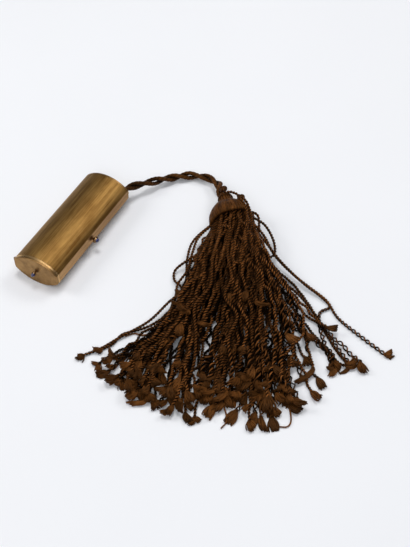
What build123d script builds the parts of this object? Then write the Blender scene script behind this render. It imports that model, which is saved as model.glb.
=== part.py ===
from build123d import *
import math
import os

os.makedirs("parts", exist_ok=True)

# Tasselled pocket case. Millimetres, +Z up. The case lies on its lower arch with its long
# axis along Y: the end lid faces -Y, the cord leaves the far end, the thumbpiece is on +X
# and the lid's hinge on -X. Solids are drawn about the middle of the case and moved by
# case_x and case_y when they are written, so that the origin is under the middle of the
# case's own box, with its thumbpiece, hinge, end button and cord bush.

# case
case_length = 60.0
case_width = 22.4
case_height = 14.5
arch_rise = 4.8  # how far each face arches beyond the upright side bands
wall = 0.7
corner_round = 0.45
edge_round = 0.3
seam = 0.1  # gap along every opening line
parting_z = case_height / 2

# ends
end_plate = 1.0
far_plate = 0.9
frame_depth = 0.9
frame_wall = 1.75
box_wall = 0.5
box_end_y = -16.5
bulkhead = 0.6
collar_depth = 1.5
collar_wall = 0.5
collar_gap = 0.2

# hinges
lid_hinge_r = 0.8
lid_pin_r = 0.4
end_hinge_r = 0.7
end_pin_r = 0.3
pin_play = 0.05
knuckle_gap = 0.06
knuckle_clear = 0.12
lid_knuckles = 5
hinge_inset = 0.3  # from each end of the shell
end_knuckle_z = (5.0, 6.5, 8.0, 9.5)  # ends of the three end knuckles

# push pieces
travel = 0.5
thumb_y = -1.2
thumb_z = parting_z - 0.7
thumb_stem_r = 0.5
thumb_collet_r = 1.5
thumb_stone_r = 1.15
thumb_out = 3.2
button_stem_r = 0.4
button_collet_r = 1.1
button_stone_r = 0.85
button_out = 3.0
stem_play = 0.05
flange_thick = 0.4
flange_extra = 0.4
leaf = 0.3  # thickness of both latch springs
leaf_setback = 0.95  # from the band's inner face to the thumbpiece's spring
spring_half = 7.0  # half the length of that spring
spring_low_z = 5.4
spring_tab_half = 1.0  # half the width of the tab that holds the lid
spring_tab_rise = 1.2  # how far the tab rises above the parting line
spring_hook = 0.55
hook_thick = 0.4
post_width = 1.2
catch_half = 2.0
catch_deep = 0.75
catch_z = (0.15, 0.6)  # above the parting line
strip_half = 0.9  # half the width of the end lid's spring
strip_from_x = -8.4
strip_post = 1.2
strip_reach = 0.4  # how far that spring's tip enters the end compartment's wall
window_play = 0.2
bore_clear = 0.05
inner_clear = 0.1

# cord: the middle of its line, from the bush to the tassel's neck
cord_d = 4.0
bend_share = 0.45  # how much of the shorter run each bend takes up
bush_wall = 0.9
bush_out = 0.5
bush_z = 7.5
cord_route = [
    (8.1, case_length / 2 - far_plate, bush_z),
    (9.0, 33.3, 7.3),
    (11.3, 37.5, 6.5),
    (14.2, 42.0, 5.3),
    (17.0, 46.9, 4.0),
    (20.4, 51.6, 3.0),
    (24.6, 56.2, 2.5),
    (29.6, 59.6, 2.4),
    (35.5, 60.9, 2.9),
    (41.3, 59.6, 4.1),
    (46.0, 56.0, 5.9),
    (48.8, 50.6, 7.4),
    (51.6, 47.3, 7.9),
]

# tassel: the head's axis, its rings along that axis, and the fan of the skirt in plan
head_top = Vector(52.3, 48.8, 8.0)
head_axis = Vector(0.62, -0.78, -0.03)
neck_r = 3.4
neck_length = 4.4
cap_length = 9.6
cap_half_width = 9.4
cap_half_height = 7.4
cap_thick = 1.0
core_gap = 0.3
cap_swell = 0.45  # how far down the cap its middle ring lies
cap_swell_share = 0.86  # that ring's size as a share of the rim's
knot_r = 1.6
top_knot_centre = Vector(51.3, 52.0, 10.5)
side_knot_centre = Vector(60.6, 48.1, 12.4)
skirt_rim = [(54.0, 31.9), (57.6, 34.75), (61.2, 37.6), (64.8, 40.45), (68.4, 43.3)]
skirt_middle = [(58.0, -8.0), (74.0, -16.0), (90.0, -14.0), (104.0, -2.0), (110.0, 19.0)]
skirt_tips = [(42.0, -53.5), (72.0, -62.0), (106.0, -57.0), (136.0, -38.0), (151.0, 7.0)]
skirt_heights = (13.5, 8.5, 3.2)
skirt_names = ["left", "mid_left", "mid_right", "right"]

# worked out
arch_radius = ((case_width / 2) ** 2 + arch_rise**2) / (2 * arch_rise)
band_high = case_height - arch_rise
hinge_x = -case_width / 2
end_y = -case_length / 2
frame_y = end_y + end_plate + seam
tube_y = frame_y + frame_depth
tube_far_y = case_length / 2 - far_plate
end_axis_y = frame_y - seam / 2
side_x = case_width / 2
case_x = -(thumb_out - lid_hinge_r) / 2
case_y = (button_out - bush_out) / 2

nodes = {}


def block(x, y, z):
    # a box from three (low, high) pairs
    size = [high - low for low, high in (x, y, z)]
    return Pos(*[(low + high) / 2 for low, high in (x, y, z)]) * Box(*size)


def lens(inset, rounded=corner_round):
    # the case's section, taken in by inset all round
    half = case_width / 2 - inset
    foot = arch_radius - math.sqrt((arch_radius - inset) ** 2 - half**2)
    top = case_height - foot
    outline = [
        ThreePointArc((-half, foot), (0, inset), (half, foot)),
        Line((half, foot), (half, top)),
        ThreePointArc((half, top), (0, case_height - inset), (-half, top)),
        Line((-half, top), (-half, foot)),
    ]
    face = make_face(Wire(outline))
    return fillet(face.vertices(), rounded)


def prism(face, low_y, high_y):
    plane = Plane(origin=(0, high_y, 0), x_dir=(1, 0, 0), z_dir=(0, -1, 0))
    return extrude(plane * face, high_y - low_y)


def rod(start, end, radius):
    start, end = Vector(*start), Vector(*end)
    plane = Plane(origin=start, z_dir=end - start)
    return plane * Cylinder(radius, (end - start).length, align=(Align.CENTER, Align.CENTER, Align.MIN))


def turned(points, origin, axis):
    # a body of revolution from (distance along the axis, radius) points
    plane = Plane(origin=origin, z_dir=axis)
    outline = Polyline(*[(radius, 0, along) for along, radius in points], close=True)
    face = make_face(outline)
    return plane * revolve(face, Axis.Z)


def add(name, *solids):
    nodes[name] = list(solids)


# Shell of the case: a tube cut into a lower half, the lid, and the bands between them
tube = prism(lens(0) - lens(wall), tube_y, tube_far_y)
lid_tube = prism(lens(0) - lens(wall), tube_y + seam, tube_far_y - seam)
wide = (-case_width, case_width)
long = (-case_length, case_length)
base_shell = tube & block(wide, long, (-1, arch_rise))
base_bands = tube & block(wide, long, (arch_rise, parting_z - seam / 2))
lid_bands = lid_tube & block(wide, long, (parting_z + seam / 2, band_high))
lid_shell = lid_tube & block(wide, long, (band_high, case_height + 1))
left = block((-case_width, 0), long, (-1, case_height + 1))
right = block((0, case_width), long, (-1, case_height + 1))

# Lid hinge: knuckles along the parting line, base and lid in turn, on one pin
hinge_from = tube_y + hinge_inset
hinge_to = tube_far_y - hinge_inset
pitch = (hinge_to - hinge_from) / lid_knuckles
base_knuckles = []
lid_knuckle_solids = []
base_left = base_bands & left
lid_left = lid_bands & left
for index in range(lid_knuckles):
    low = hinge_from + index * pitch + knuckle_gap / 2
    high = hinge_from + (index + 1) * pitch - knuckle_gap / 2
    barrel = rod((hinge_x, low, parting_z), (hinge_x, high, parting_z), lid_hinge_r)
    relief_from = (hinge_x, low - knuckle_gap, parting_z)
    relief_to = (hinge_x, high + knuckle_gap, parting_z)
    relief = rod(relief_from, relief_to, lid_hinge_r + knuckle_clear)
    on_base = index % 2 == 0
    bore_r = lid_pin_r if on_base else lid_pin_r + pin_play
    barrel -= rod((hinge_x, low, parting_z), (hinge_x, high, parting_z), bore_r)
    if on_base:
        base_knuckles.append(barrel)
        base_left -= rod((hinge_x, low, parting_z), (hinge_x, high, parting_z), lid_hinge_r)
        lid_left -= relief
    else:
        lid_knuckle_solids.append(barrel)
        lid_left -= rod((hinge_x, low, parting_z), (hinge_x, high, parting_z), lid_hinge_r)
        base_left -= relief
lid_pin = rod((hinge_x, hinge_from, parting_z), (hinge_x, hinge_to, parting_z), lid_pin_r)

# End frame, end compartment and its bulkhead, all fixed to the base
end_frame = prism(lens(0) - lens(frame_wall), frame_y, tube_y)
end_box = prism(lens(frame_wall - box_wall) - lens(frame_wall), tube_y, box_end_y)
end_bulkhead = prism(lens(frame_wall - box_wall), box_end_y, box_end_y + bulkhead)
far_end_plate = prism(lens(0), tube_far_y, case_length / 2)
far_end_plate = fillet(far_end_plate.faces().sort_by(Axis.Y)[-1].edges(), edge_round)

# End lid: the plain plate, a collar that enters the frame, and its hinge at the -X corner
end_lid_plate = prism(lens(0), end_y, end_y + end_plate)
end_lid_plate = fillet(end_lid_plate.faces().sort_by(Axis.Y)[0].edges(), edge_round)
collar_inset = frame_wall + collar_gap
collar_back_y = end_y + end_plate + collar_depth
collar_section = lens(collar_inset) - lens(collar_inset + collar_wall)
end_lid_collar = prism(collar_section, end_y + end_plate, collar_back_y)
end_base_knuckles = []
for index in range(len(end_knuckle_z) - 1):
    low = end_knuckle_z[index] + knuckle_gap / 2
    high = end_knuckle_z[index + 1] - knuckle_gap / 2
    barrel = rod((hinge_x, end_axis_y, low), (hinge_x, end_axis_y, high), end_hinge_r)
    relief_from = (hinge_x, end_axis_y, low - knuckle_gap)
    relief_to = (hinge_x, end_axis_y, high + knuckle_gap)
    relief = rod(relief_from, relief_to, end_hinge_r + knuckle_clear)
    on_frame = index % 2 == 0
    bore_r = end_pin_r if on_frame else end_pin_r + pin_play
    solid = barrel - rod((hinge_x, end_axis_y, low), (hinge_x, end_axis_y, high), bore_r)
    if on_frame:
        end_base_knuckles.append(solid)
        end_frame -= barrel
        end_lid_plate -= relief
    else:
        end_lid_knuckle = solid
        end_lid_plate -= barrel
        end_frame -= relief
end_pin_from = (hinge_x, end_axis_y, end_knuckle_z[0])
end_pin_to = (hinge_x, end_axis_y, end_knuckle_z[-1])
end_pin = rod(end_pin_from, end_pin_to, end_pin_r)


def push_piece(origin, axis, inner, stem_r, collet_r, stone_r, out):
    # collet and stem in one, a stone in the collet, and a flange inside the wall.
    # inner is how far the stem's tip lies behind the wall's outer face.
    neck = travel + bore_clear
    seat = neck + collet_r * 0.85
    girdle = collet_r * 0.2
    profile = [
        (neck, 0),
        (neck, collet_r * 0.62),
        (neck + collet_r * 0.3, collet_r * 0.94),
        (neck + collet_r * 0.65, collet_r),
        (seat + girdle, collet_r * 0.9),
        (seat + girdle, stone_r),
        (seat, stone_r),
        (seat, 0),
    ]
    metal = turned(profile, origin, axis)
    metal += rod(origin - axis * inner, origin + axis * neck, stem_r)
    height = out - seat - girdle
    stone = rod(origin + axis * seat, origin + axis * (seat + girdle), stone_r)
    above = Pos(0, 0, stone_r) * Box(3 * stone_r, 3 * stone_r, 2 * stone_r)
    dome = scale(Sphere(stone_r) & above, by=(1, 1, height / stone_r))
    stone += Plane(origin=origin + axis * (seat + girdle), z_dir=axis) * dome
    return metal, stone


# Thumbpiece on the +X band, with its latch spring and the lid's catch
thumb_axis = Vector(1, 0, 0)
thumb_face = Vector(side_x, thumb_y, thumb_z)
leaf_x = side_x - wall - leaf_setback  # the leaf's outer face, just beyond the stem's tip
thumb_inner = side_x - leaf_x - bore_clear
thumbpiece, thumb_stone = push_piece(
    thumb_face, thumb_axis, thumb_inner, thumb_stem_r, thumb_collet_r, thumb_stone_r, thumb_out
)
flange_x = side_x - wall - inner_clear
flange_from = (flange_x - flange_thick, thumb_y, thumb_z)
thumb_flange = rod(flange_from, (flange_x, thumb_y, thumb_z), thumb_stem_r + flange_extra)
thumb_line = ((0, thumb_y, thumb_z), (case_width, thumb_y, thumb_z))
thumb_flange -= rod(*thumb_line, thumb_stem_r)
base_right = base_bands & right
base_right -= rod(*thumb_line, thumb_stem_r + stem_play)
leaf_span = (leaf_x - leaf, leaf_x)
spring_span = (thumb_y - spring_half, thumb_y + spring_half)
tab_span = (thumb_y - spring_tab_half, thumb_y + spring_tab_half)
tab_top = parting_z + spring_tab_rise
latch_spring = block(leaf_span, spring_span, (spring_low_z, parting_z))
latch_spring += block(leaf_span, tab_span, (parting_z - spring_hook, tab_top))
latch_spring += block((leaf_x, leaf_x + spring_hook), tab_span, (tab_top - hook_thick, tab_top))
latch_posts = [
    block((leaf_x, side_x - wall), (low, low + post_width), (spring_low_z, parting_z - 2 * seam))
    for low in (spring_span[0], spring_span[1] - post_width)
]
catch_span = (thumb_y - catch_half, thumb_y + catch_half)
catch_rise = (parting_z + catch_z[0], parting_z + catch_z[1])
lid_catch = block((side_x - wall - catch_deep, side_x - wall), catch_span, catch_rise)

# End button in the middle of the end lid, with its latch spring across the collar
button_axis = Vector(0, -1, 0)
button_face = Vector(0, end_y, parting_z)
strip_y = collar_back_y + inner_clear
button_inner = strip_y - end_y - bore_clear
end_button, end_stone = push_piece(
    button_face, button_axis, button_inner, button_stem_r, button_collet_r, button_stone_r, button_out
)
flange_y = end_y + end_plate + inner_clear
flange_to = (0, flange_y + flange_thick, parting_z)
end_flange = rod((0, flange_y, parting_z), flange_to, button_stem_r + flange_extra)
button_line = ((0, end_y - 1, parting_z), (0, 0, parting_z))
end_flange -= rod(*button_line, button_stem_r)
end_lid_plate -= rod(*button_line, button_stem_r + stem_play)
strip_z = (parting_z - strip_half, parting_z + strip_half)
frame_inner_x = side_x - frame_wall
end_latch_spring = block((strip_from_x, frame_inner_x + strip_reach), (strip_y, strip_y + leaf), strip_z)
end_spring_post = block((strip_from_x, strip_from_x + strip_post), (end_y + end_plate, strip_y), strip_z)
window_y = (strip_y - window_play, strip_y + leaf + window_play)
window_z = (strip_z[0] - window_play, strip_z[1] + window_play)
end_box -= block((frame_inner_x - window_play, side_x), window_y, window_z)

# Cord, and the bush that it comes out of in the far end plate
cord_r = cord_d / 2
bush_x = cord_route[0][0]
bush_low = (bush_x, tube_far_y, bush_z)
bush_high = (bush_x, case_length / 2 + bush_out, bush_z)
cord_bush = rod(bush_low, bush_high, cord_r + bush_wall)
far_end_plate -= cord_bush
cord_bush -= rod(bush_low, bush_high, cord_r)
points = [Vector(*p) for p in cord_route]
runs = [b - a for a, b in zip(points, points[1:])]
radii = []
for before, after in zip(runs, runs[1:]):
    turn = math.radians(before.get_angle(after))
    radii.append(bend_share * min(before.length, after.length) / math.tan(turn / 2))
cord_line = FilletPolyline(*points, radius=radii)
cord_start = Plane(origin=cord_line @ 0, z_dir=cord_line % 0)
cord = sweep(cord_start * Circle(cord_r), cord_line)
swept_share = cord.volume / (math.pi * cord_r**2 * cord_line.length)
print("cord radii", [round(r, 1) for r in radii])
print("cord length", round(cord_line.length, 1), "volume share", round(swept_share, 4))

# Tassel: gathered neck, cap of floss over a core, two knots, and the skirt's fan
axis = head_axis.normalized()
neck_end = head_top + axis * neck_length
rim = neck_end + axis * cap_length


def head_ring(centre, half_width, half_height):
    plane = Plane(origin=centre, x_dir=axis.cross(Vector(0, 0, 1)), z_dir=axis)
    return plane * Ellipse(half_width, half_height)


def head_dome(inset):
    middle = neck_end + axis * cap_length * cap_swell
    swell_width = cap_half_width * cap_swell_share - inset
    swell_height = cap_half_height * cap_swell_share - inset
    faces = [
        head_ring(neck_end, neck_r - inset, neck_r - inset),
        head_ring(middle, swell_width, swell_height),
        head_ring(rim, cap_half_width - inset, cap_half_height - inset),
    ]
    return loft(Sketch() + [ring.face() for ring in faces])


tassel_neck = rod(head_top, neck_end, neck_r)
tassel_cap = head_dome(0) - head_dome(cap_thick)
tassel_core = head_dome(cap_thick + core_gap)


def station(points_in_plan, index, height):
    (ax, ay), (bx, by) = points_in_plan[index : index + 2]
    corners = [(ax, ay, 0), (bx, by, 0), (bx, by, height), (ax, ay, height)]
    return make_face(Polyline(*corners, close=True))


def skirt_sector(index):
    stations = zip((skirt_rim, skirt_middle, skirt_tips), skirt_heights)
    faces = [station(plan, index, height) for plan, height in stations]
    return loft(Sketch() + [face.face() for face in faces], ruled=True)


tassel_top_knot = Pos(*top_knot_centre) * Sphere(knot_r)
tassel_side_knot = Pos(*side_knot_centre) * Sphere(knot_r)

add("base_shell", base_shell)
add("base_band_hinge_side", base_left)
add("base_band_front", base_right)
add("base_hinge_knuckles", *base_knuckles)
add("lid_hinge_pin", lid_pin)
add("far_end_plate", far_end_plate)
add("end_frame", end_frame)
add("end_box", end_box)
add("end_bulkhead", end_bulkhead)
add("end_frame_knuckles", *end_base_knuckles)
add("end_hinge_pin", end_pin)
add("latch_spring", latch_spring)
add("latch_posts", *latch_posts)
add("cord_bush", cord_bush)
add("lid_shell", lid_shell)
add("lid_band_hinge_side", lid_left)
add("lid_band_front", lid_bands & right)
add("lid_hinge_knuckles", *lid_knuckle_solids)
add("lid_catch", lid_catch)
add("end_lid_plate", end_lid_plate)
add("end_lid_collar", end_lid_collar)
add("end_lid_knuckle", end_lid_knuckle)
add("end_latch_spring", end_latch_spring)
add("end_spring_post", end_spring_post)
add("thumbpiece", thumbpiece)
add("thumbpiece_flange", thumb_flange)
add("thumbpiece_stone", thumb_stone)
add("end_button", end_button)
add("end_button_flange", end_flange)
add("end_button_stone", end_stone)
add("cord", cord)
add("tassel_neck", tassel_neck)
add("tassel_cap", tassel_cap)
add("tassel_core", tassel_core)
add("tassel_top_knot", tassel_top_knot)
add("tassel_side_knot", tassel_side_knot)
for index, name in enumerate(skirt_names):
    add("tassel_skirt_" + name, skirt_sector(index))

for name, solids in nodes.items():
    moved = [Pos(case_x, case_y, 0) * solid for group in solids for solid in group.solids()]
    shape = moved[0] if len(moved) == 1 else Compound(children=moved)
    export_step(shape, f"parts/{name}.step")
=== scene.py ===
import math

import bmesh
import bpy
import numpy as np
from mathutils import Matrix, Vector


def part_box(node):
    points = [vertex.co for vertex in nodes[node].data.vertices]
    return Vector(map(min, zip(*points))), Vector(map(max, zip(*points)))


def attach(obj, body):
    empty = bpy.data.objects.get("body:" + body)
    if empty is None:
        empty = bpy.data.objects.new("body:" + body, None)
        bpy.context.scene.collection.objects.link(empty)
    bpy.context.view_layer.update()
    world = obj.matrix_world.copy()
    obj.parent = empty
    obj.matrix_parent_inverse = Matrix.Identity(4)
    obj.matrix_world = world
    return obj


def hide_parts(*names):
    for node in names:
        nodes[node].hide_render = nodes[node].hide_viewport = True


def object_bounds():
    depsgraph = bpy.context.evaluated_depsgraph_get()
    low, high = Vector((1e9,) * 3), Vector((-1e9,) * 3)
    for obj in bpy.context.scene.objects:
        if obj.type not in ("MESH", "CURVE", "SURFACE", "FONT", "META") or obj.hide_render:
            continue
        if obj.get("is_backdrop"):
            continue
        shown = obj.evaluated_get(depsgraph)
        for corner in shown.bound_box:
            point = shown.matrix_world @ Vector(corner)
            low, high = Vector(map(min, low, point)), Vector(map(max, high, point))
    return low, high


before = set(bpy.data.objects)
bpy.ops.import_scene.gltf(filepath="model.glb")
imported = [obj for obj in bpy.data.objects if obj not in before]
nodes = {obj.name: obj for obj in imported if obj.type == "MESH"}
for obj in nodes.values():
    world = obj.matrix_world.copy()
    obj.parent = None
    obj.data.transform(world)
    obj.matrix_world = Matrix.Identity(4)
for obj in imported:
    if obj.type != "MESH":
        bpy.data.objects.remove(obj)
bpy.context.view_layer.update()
mm = 0.001
scene = bpy.context.scene
anyPhase = (0, 6.3)  # about a full turn, to draw a wave's start from
print("frame loaded:", len(nodes), "CAD nodes")


def unit(vectors):
    vectors = np.asarray(vectors, float)
    return vectors / np.maximum(np.linalg.norm(vectors, axis=-1, keepdims=True), 1e-12)


def smoothStep(t):
    t = np.clip(t, 0.0, 1.0)
    return t * t * (3 - 2 * t)


def evenLine(points, step):
    # the same line with its points an even step apart
    points = np.asarray(points, float)
    run = np.concatenate([[0], np.cumsum(np.linalg.norm(np.diff(points, axis=0), axis=1))])
    count = max(2, int(round(run[-1] / step)) + 1)
    at = np.linspace(0, run[-1], count)
    return np.stack([np.interp(at, run, points[:, k]) for k in range(points.shape[1])], 1)


def softLine(points, step, samples=14):
    # a smooth line through a few hand-set points
    p = np.asarray(points, float)
    p = np.vstack([2 * p[0] - p[1], p, 2 * p[-1] - p[-2]])
    t = np.linspace(0, 1, samples, endpoint=False)[:, None]
    spans = []
    for a, b, c, d in zip(p[:-3], p[1:-2], p[2:-1], p[3:]):
        square, cube = 2 * a - 5 * b + 4 * c - d, 3 * b - a - 3 * c + d
        spans.append(0.5 * (2 * b + (c - a) * t + square * t**2 + cube * t**3))
    return evenLine(np.vstack([*spans, p[-2:-1]]), step)


def carriedFrames(line):
    # two directions across a line, carried along it without twisting
    tangents = unit(np.gradient(line, axis=0))
    side = np.cross(tangents[0], (0.0, 0.0, 1.0))
    if np.linalg.norm(side) < 0.1:
        side = np.cross(tangents[0], (1.0, 0.0, 0.0))
    sides = [side / np.linalg.norm(side)]
    for tangent in tangents[1:]:
        side = sides[-1] - tangent * np.dot(sides[-1], tangent)
        sides.append(side / np.linalg.norm(side))
    sides = np.array(sides)
    return sides, np.cross(tangents, sides)


def tubeMesh(line, sides, radius, closed=False):
    # rings round a line: radius is a number, or rings by sides
    count = len(line)
    across, up = carriedFrames(line)
    turn = np.linspace(0, 2 * np.pi, sides, endpoint=False)
    if closed:  # spread the closing twist over the whole loop
        end = math.atan2(np.dot(across[-1], up[0]), np.dot(across[-1], across[0]))
        turn = turn[None, :] - np.linspace(0, end, count)[:, None]
    else:
        turn = np.repeat(turn[None, :], count, 0)
    radius = np.broadcast_to(np.asarray(radius, float), (count, sides))
    rings = (
        line[:, None, :]
        + across[:, None, :] * (np.cos(turn) * radius)[..., None]
        + up[:, None, :] * (np.sin(turn) * radius)[..., None]
    )
    if closed:
        rings = rings[:-1]
    return ringMesh(rings, closed)


def ringMesh(rings, looped=False):
    # faces between rings of the same number of points, with their ends closed
    count, sides = rings.shape[:2]
    points = rings.reshape(-1, 3)
    faces = []
    last = count if looped else count - 1
    for i in range(last):
        a, b = i * sides, (i + 1) % count * sides
        faces += [(a + j, a + (j + 1) % sides, b + (j + 1) % sides, b + j) for j in range(sides)]
    if not looped:
        faces.append(tuple(reversed(range(sides))))
        faces.append(tuple(range((count - 1) * sides, count * sides)))
    return points, faces


def joined(parts):
    points, faces, first = [], [], 0
    for partPoints, partFaces in parts:
        points.append(partPoints)
        faces += [tuple(first + k for k in face) for face in partFaces]
        first += len(partPoints)
    return np.vstack(points), faces


def makePiece(name, points, faces, material):
    # a finished mesh in metres, with its faces turned outwards
    mesh = bpy.data.meshes.new(name)
    mesh.from_pydata((np.asarray(points) * mm).tolist(), [], faces)
    work = bmesh.new()
    work.from_mesh(mesh)
    bmesh.ops.recalc_face_normals(work, faces=work.faces)
    work.to_mesh(mesh)
    work.free()
    mesh.shade_smooth()
    mesh.materials.append(material)
    piece = bpy.data.objects.new(name, mesh)
    scene.collection.objects.link(piece)
    return piece


def addValues(piece, **values):
    for name, numbers in values.items():
        attribute = piece.data.attributes.new(name, "FLOAT", "POINT")
        attribute.data.foreach_set("value", np.asarray(numbers, np.float32))


def setNode(tree, kind, inputs=(), **fields):
    node = tree.nodes.new(kind)
    for field, value in fields.items():
        setattr(node, field, value)
    for key, value in dict(inputs).items():
        if isinstance(value, bpy.types.NodeSocket):
            tree.links.new(value, node.inputs[key])
        else:
            node.inputs[key].default_value = value
    return node


def maths(tree, operation, *values):
    return setNode(tree, "ShaderNodeMath", dict(enumerate(values)), operation=operation).outputs[0]


def vectorMaths(tree, operation, *values):
    node = setNode(tree, "ShaderNodeVectorMath", dict(enumerate(values)), operation=operation)
    return node.outputs["Value" if operation in ("LENGTH", "DOT_PRODUCT") else "Vector"]


def scaled(tree, vector, factor):
    inputs = {0: vector, "Scale": factor}
    return setNode(tree, "ShaderNodeVectorMath", inputs, operation="SCALE").outputs[0]


def storedValue(tree, label, kind="FLOAT"):
    return setNode(tree, "GeometryNodeInputNamedAttribute", {"Name": label}, data_type=kind).outputs[0]


def newShapeTree(name, sockets):
    # a Geometry Nodes tree with named inputs: (label, kind)
    tree = bpy.data.node_groups.new(name, "GeometryNodeTree")
    tree.is_modifier = True
    tree.interface.new_socket("Geometry", in_out="INPUT", socket_type="NodeSocketGeometry")
    for label, kind in sockets:
        tree.interface.new_socket(label, in_out="INPUT", socket_type=kind)
    tree.interface.new_socket("Geometry", in_out="OUTPUT", socket_type="NodeSocketGeometry")
    return tree, tree.nodes.new("NodeGroupInput").outputs


def finishShapeTree(tree, shape, material):
    real = setNode(tree, "GeometryNodeRealizeInstances", {"Geometry": shape}).outputs[0]
    painted = setNode(tree, "GeometryNodeSetMaterial", {"Geometry": real, "Material": material}).outputs[0]
    tree.links.new(painted, tree.nodes.new("NodeGroupOutput").inputs[0])


def grow(name, seedMesh, tree, settings):
    # runs a tree on a seed mesh and keeps the result as a plain mesh piece
    holder = bpy.data.objects.new(name + "Seed", seedMesh)
    scene.collection.objects.link(holder)
    modifier = holder.modifiers.new("shape", "NODES")
    modifier.node_group = tree
    for item in tree.interface.items_tree:
        if item.item_type == "SOCKET" and item.in_out == "INPUT" and item.name in settings:
            modifier[item.identifier] = settings[item.name]
    bpy.context.view_layer.update()
    grown = holder.evaluated_get(bpy.context.evaluated_depsgraph_get())
    mesh = bpy.data.meshes.new_from_object(grown)
    holder.modifiers.clear()
    bpy.data.objects.remove(holder)
    mesh.name = name
    piece = bpy.data.objects.new(name, mesh)
    scene.collection.objects.link(piece)
    return piece


def newMaterial(name, **settings):
    material = bpy.data.materials.new(name)
    material.use_nodes = True
    tree = material.node_tree
    shader = tree.nodes["Principled BSDF"]
    for key, value in settings.items():
        shader.inputs[key.replace("_", " ")].default_value = value
    return material, tree, shader


def ramp(tree, factor, *stops):
    node = setNode(tree, "ShaderNodeValToRGB", {"Fac": factor})
    while len(node.color_ramp.elements) < len(stops):
        node.color_ramp.elements.new(0.5)
    for element, (position, colour) in zip(node.color_ramp.elements, stops):
        element.position = position
        element.color = (*colour, 1)
    return node.outputs["Color"]


def noise(tree, vector, scale, detail=4.0, roughness=0.55):
    inputs = {"Vector": vector, "Scale": scale, "Detail": detail, "Roughness": roughness}
    return setNode(tree, "ShaderNodeTexNoise", inputs).outputs[0]


def stretched(tree, scale):
    place = setNode(tree, "ShaderNodeTexCoord").outputs["Object"]
    return setNode(tree, "ShaderNodeMapping", {"Vector": place, "Scale": scale}).outputs[0]


def bump(tree, shader, height, distance, strength=1.0):
    inputs = {"Height": height, "Distance": distance, "Strength": strength}
    tree.links.new(setNode(tree, "ShaderNodeBump", inputs).outputs[0], shader.inputs["Normal"])


gold = {
    "reeded": {"dark": (0.150, 0.070, 0.017), "light": (0.350, 0.200, 0.060), "rough": (0.28, 0.45)},
    "plain": {"dark": (0.21, 0.105, 0.042), "light": (0.50, 0.295, 0.130), "rough": (0.22, 0.38)},
    "plate": {"dark": (0.145, 0.076, 0.028), "light": (0.380, 0.222, 0.088), "rough": (0.24, 0.40)},
    "polished": {"dark": (0.42, 0.240, 0.095), "light": (0.66, 0.42, 0.18), "rough": (0.18, 0.32)},
    "worn": {"dark": (0.09, 0.050, 0.024), "light": (0.34, 0.210, 0.10), "rough": (0.16, 0.32)},
    "gilt": {"dark": (0.55, 0.36, 0.12), "light": (0.78, 0.56, 0.24), "rough": (0.30, 0.45)},
}


def goldMaterial(name, look, brushed, tarnish):
    # brushed is how many scratches lie across each millimetre, along the case's length
    material, tree, shader = newMaterial(name, Metallic=1.0, Specular_Tint=(1, 0.92, 0.8, 1))
    patches = noise(tree, stretched(tree, (1, 0.35, 1)), 140, 5, 0.6)
    streaks = noise(tree, stretched(tree, (brushed, brushed * 0.035, brushed)), 1000, 3, 0.5)
    pits = noise(tree, stretched(tree, (1, 1, 1)), 2600, 2, 0.5)
    worn = maths(tree, "MULTIPLY_ADD", streaks, 0.45, maths(tree, "MULTIPLY", patches, 0.55))
    colour = ramp(tree, worn, (0.5 - tarnish, look["dark"]), (0.62, look["light"]))
    tree.links.new(colour, shader.inputs["Base Color"])
    low, high = look["rough"]
    rough = maths(tree, "MULTIPLY_ADD", patches, high - low, low)
    rough = maths(tree, "MULTIPLY_ADD", pits, 0.06, rough)
    tree.links.new(rough, shader.inputs["Roughness"])
    bump(tree, shader, maths(tree, "MULTIPLY_ADD", pits, 0.3, streaks), 0.00002, 0.5)
    return material


reededGold = goldMaterial("reededGold", gold["reeded"], 1.4, 0.12)
plainGold = goldMaterial("plainGold", gold["plain"], 0.8, 0.16)
plateGold = goldMaterial("plateGold", gold["plate"], 0.5, 0.2)
polishedGold = goldMaterial("polishedGold", gold["polished"], 0.6, 0.2)
wornGold = goldMaterial("wornGold", gold["worn"], 0.6, 0.2)
giltInside = goldMaterial("giltInside", gold["gilt"], 0.5, 0.2)

steel = {"dark": (0.24, 0.24, 0.26), "light": (0.45, 0.45, 0.46), "grain": 3000}
springSteel, tree, shader = newMaterial("springSteel", Metallic=1.0)
grain = noise(tree, stretched(tree, (0.4, 1, 1)), steel["grain"])
colour = ramp(tree, grain, (0.3, steel["dark"]), (0.7, steel["light"]))
tree.links.new(colour, shader.inputs["Base Color"])
tree.links.new(maths(tree, "MULTIPLY_ADD", grain, 0.2, 0.22), shader.inputs["Roughness"])

stone = {"dark": (0.001, 0.001, 0.025), "light": (0.003, 0.006, 0.15), "cloud": 900}
blueStone, tree, shader = newMaterial("blueStone", Coat_Weight=1.0, Coat_Roughness=0.03, Roughness=0.18)
cloud = noise(tree, stretched(tree, (1, 1, 1)), stone["cloud"])
colour = ramp(tree, cloud, (0.35, stone["dark"]), (0.7, stone["light"]))
tree.links.new(colour, shader.inputs["Base Color"])
bump(tree, shader, cloud, 0.00001, 0.3)

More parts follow.
